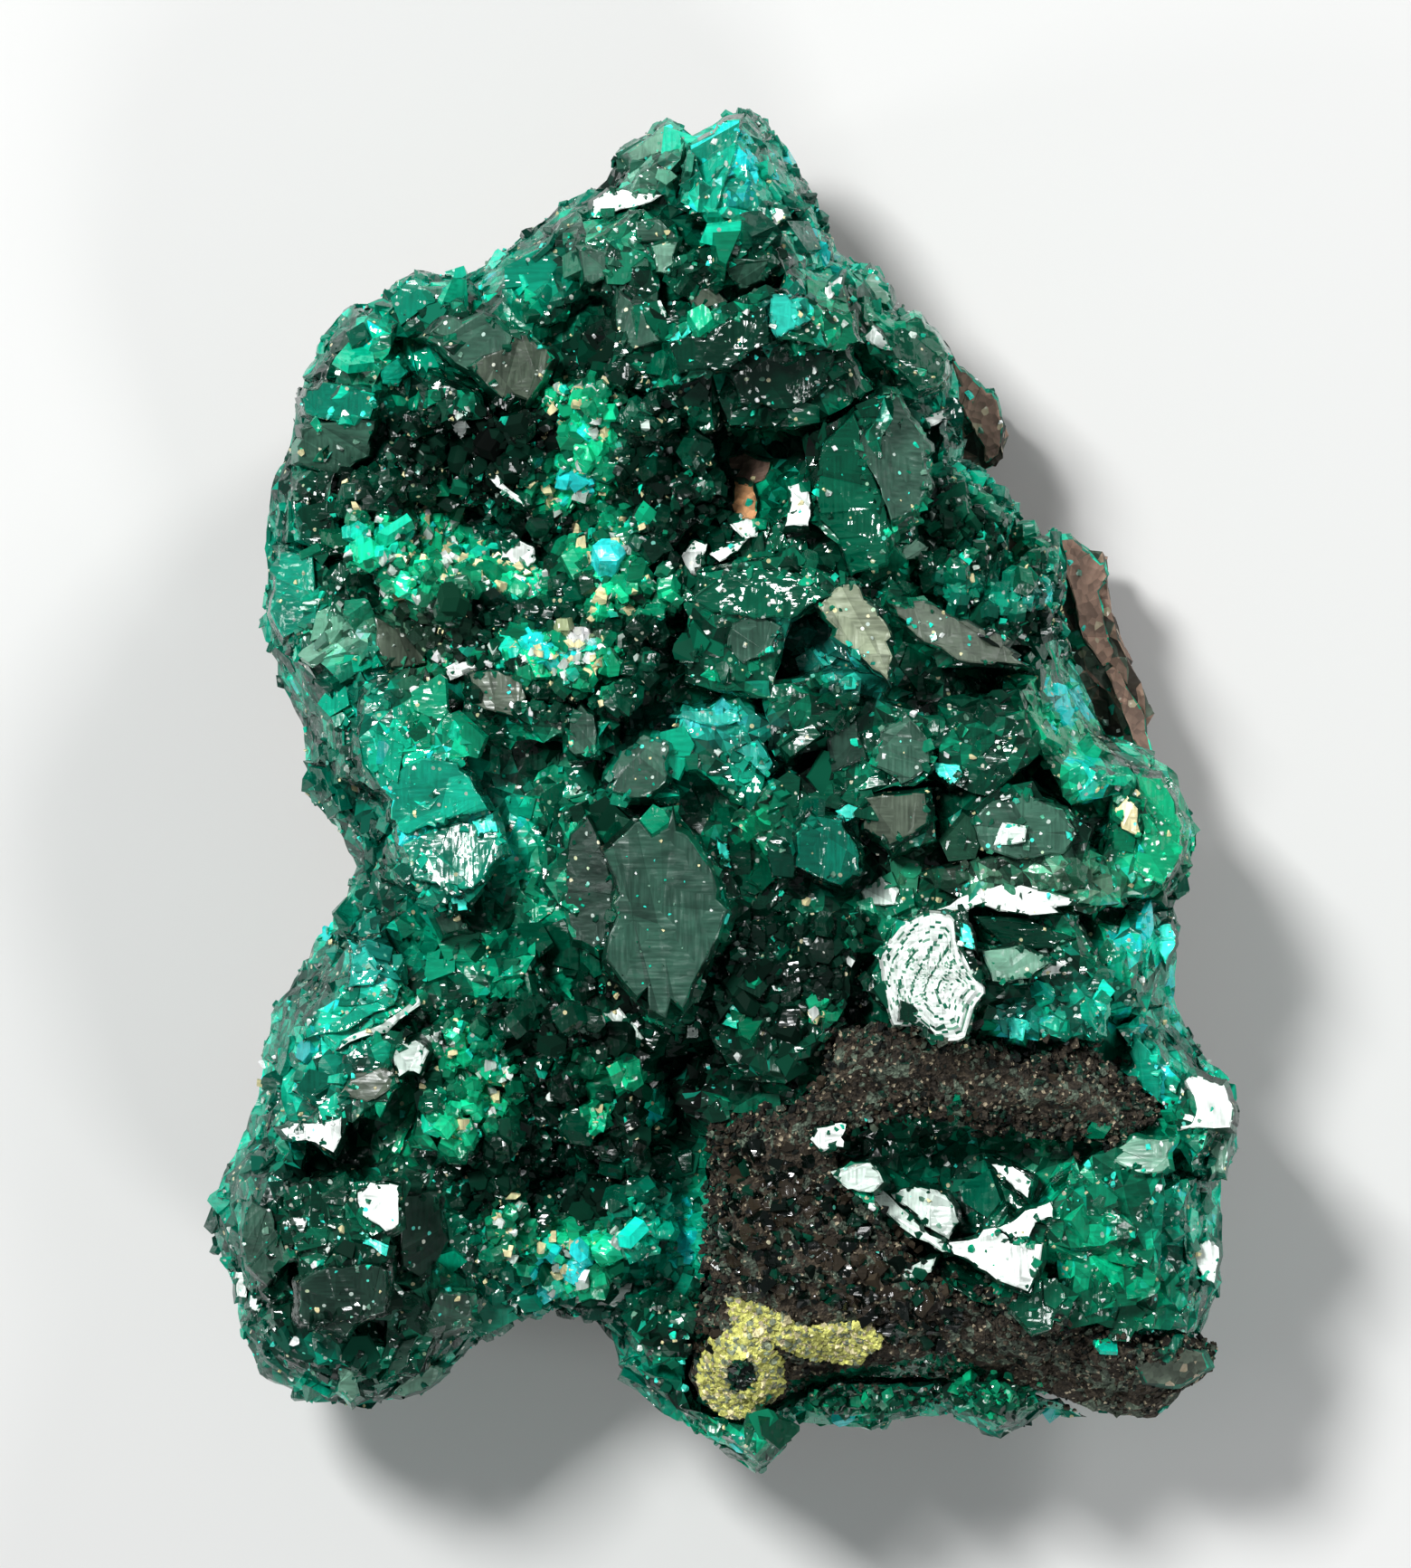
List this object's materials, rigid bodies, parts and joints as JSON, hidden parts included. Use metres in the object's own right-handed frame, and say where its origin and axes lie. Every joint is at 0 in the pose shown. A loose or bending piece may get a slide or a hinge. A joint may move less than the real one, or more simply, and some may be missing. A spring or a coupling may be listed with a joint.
{
  "type": "dioptase crystal specimen",
  "caption": "Natural dioptase specimen: green crystals grown together over brown rock, with drusy hollows, lying on a flat break.",
  "frame": {"origin": "on the surface that the specimen lies on, under the middle of its outline", "axes": "+X to the right and +Y up the specimen as the picture shows it, +Z out of the resting surface through the crystals"},
  "size_m": [0.0411, 0.0547, 0.0195],
  "materials": {
    "dioptase": "translucent emerald-green crystal, vitreous broken faces",
    "druse": "small glittering green crystals",
    "granular_rock": "rough granular brown rock with fine glitter and a yellow-green crust",
    "rind_rock": "rough reddish-brown rock"
  },
  "bodies": {
    "root": {"dioptase_crystals": "dioptase", "druse_upper": "druse", "druse_lower": "druse", "rock_ledge": "granular_rock", "rock_base": "rind_rock"}
  },
  "joints": []
}
